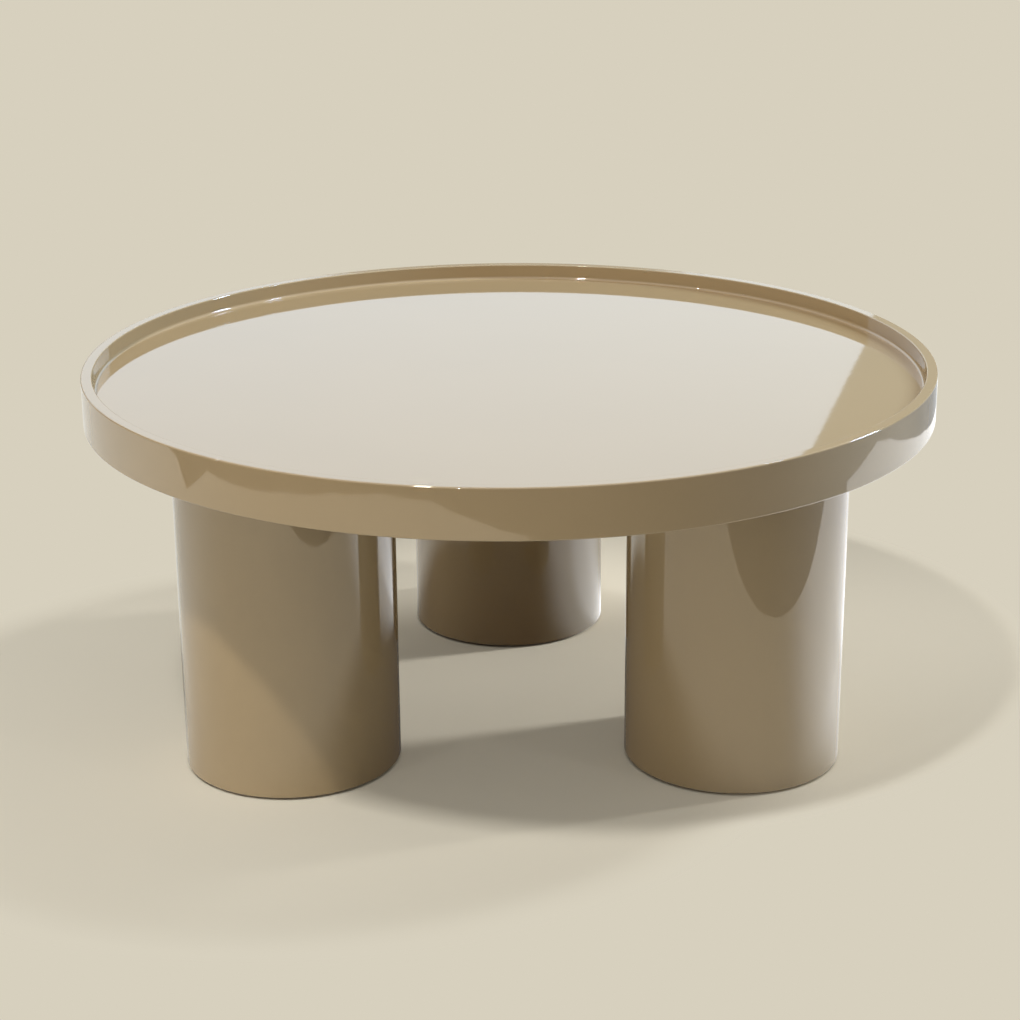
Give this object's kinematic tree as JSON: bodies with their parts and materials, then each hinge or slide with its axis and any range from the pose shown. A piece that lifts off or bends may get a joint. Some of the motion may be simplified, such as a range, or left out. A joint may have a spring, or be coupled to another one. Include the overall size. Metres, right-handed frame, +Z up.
{
  "type": "cocktail table",
  "caption": "Round gloss-lacquered cocktail table: a shallow tray top with a raised lip, on plain drum legs, for drinks, books and trays.",
  "frame": {"origin": "on the floor, under the middle of the top", "axes": "+Z up; +Y from the middle towards the rear leg; +X to the right, seen from the front"},
  "size_m": [0.914, 0.914, 0.4065],
  "materials": {
    "taupe_lacquer": "high-gloss taupe lacquer over board",
    "sealed_board": "sealed board, matt",
    "zinc_steel": "zinc-plated steel",
    "insert_brass": "turned brass",
    "nylon": "dark nylon"
  },
  "bodies": {
    "root": {"rim_hoop": "taupe_lacquer", "tray_deck": "taupe_lacquer", "sub_top": "sealed_board", "rear_leg_shell": "taupe_lacquer", "left_leg_shell": "taupe_lacquer", "right_leg_shell": "taupe_lacquer", "rear_leg_head": "sealed_board", "left_leg_head": "sealed_board", "right_leg_head": "sealed_board", "rear_leg_base": "sealed_board", "left_leg_base": "sealed_board", "right_leg_base": "sealed_board", "rear_leg_bolts": "zinc_steel", "left_leg_bolts": "zinc_steel", "right_leg_bolts": "zinc_steel", "rear_lock_washers": "zinc_steel", "left_lock_washers": "zinc_steel", "right_lock_washers": "zinc_steel", "rear_flat_washers": "zinc_steel", "left_flat_washers": "zinc_steel", "right_flat_washers": "zinc_steel", "rear_threaded_inserts": "insert_brass", "left_threaded_inserts": "insert_brass", "right_threaded_inserts": "insert_brass", "rear_glides": "nylon", "left_glides": "nylon", "right_glides": "nylon", "rear_glide_screws": "zinc_steel", "left_glide_screws": "zinc_steel", "right_glide_screws": "zinc_steel"}
  },
  "joints": []
}
